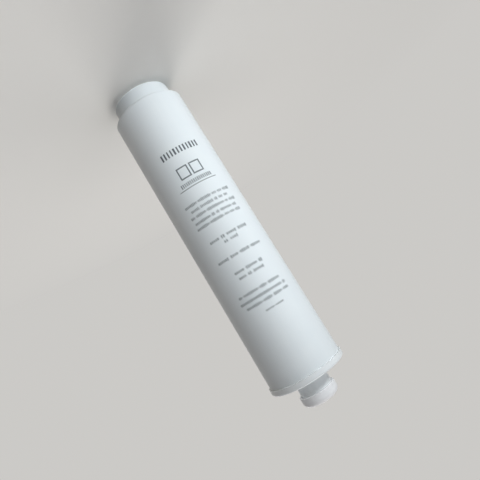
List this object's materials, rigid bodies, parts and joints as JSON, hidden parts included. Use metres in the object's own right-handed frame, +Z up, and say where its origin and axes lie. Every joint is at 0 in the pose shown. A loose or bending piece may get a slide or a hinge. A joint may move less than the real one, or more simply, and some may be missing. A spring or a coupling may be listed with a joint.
{
  "type": "encapsulated reverse osmosis membrane cartridge",
  "caption": "Closed white tubular cartridge with a stepped base, a rim and a capped quick-change neck, holding a wound reverse osmosis membrane.",
  "frame": {"origin": "centre of the closed end's flat face, on which the cartridge stands", "axes": "+Z up along the cartridge's axis, from the closed end to the connector; -Y is the side the picture shows"},
  "size_m": [0.0674, 0.0674, 0.3004],
  "materials": {
    "shell_plastic": "glossy, moulded",
    "head_plastic": "glossy, moulded",
    "cap_plastic": "satin, moulded",
    "seal_rubber": "smooth, lightly greased",
    "insert_plastic": "satin, moulded",
    "core_plastic": "satin, extruded",
    "membrane": "wound polymer sheet and mesh",
    "wrap_tape": "smooth tape"
  },
  "bodies": {
    "root": {"shell": "shell_plastic", "head_cap": "head_plastic", "dust_cap": "cap_plastic", "lower_neck_o_ring": "seal_rubber", "upper_neck_o_ring": "seal_rubber", "flow_diverter": "insert_plastic", "stem_o_ring": "seal_rubber", "nozzle_o_ring": "seal_rubber", "core_tube": "core_plastic", "lower_tube_o_ring": "seal_rubber", "upper_tube_o_ring": "seal_rubber", "tube_plug": "insert_plastic", "plug_o_ring": "seal_rubber", "base_end_cap": "insert_plastic", "head_end_cap": "insert_plastic", "brine_seal": "seal_rubber", "membrane_roll": "membrane", "outer_wrap": "wrap_tape", "base_binding_tape": "wrap_tape", "head_binding_tape": "wrap_tape"}
  },
  "joints": []
}
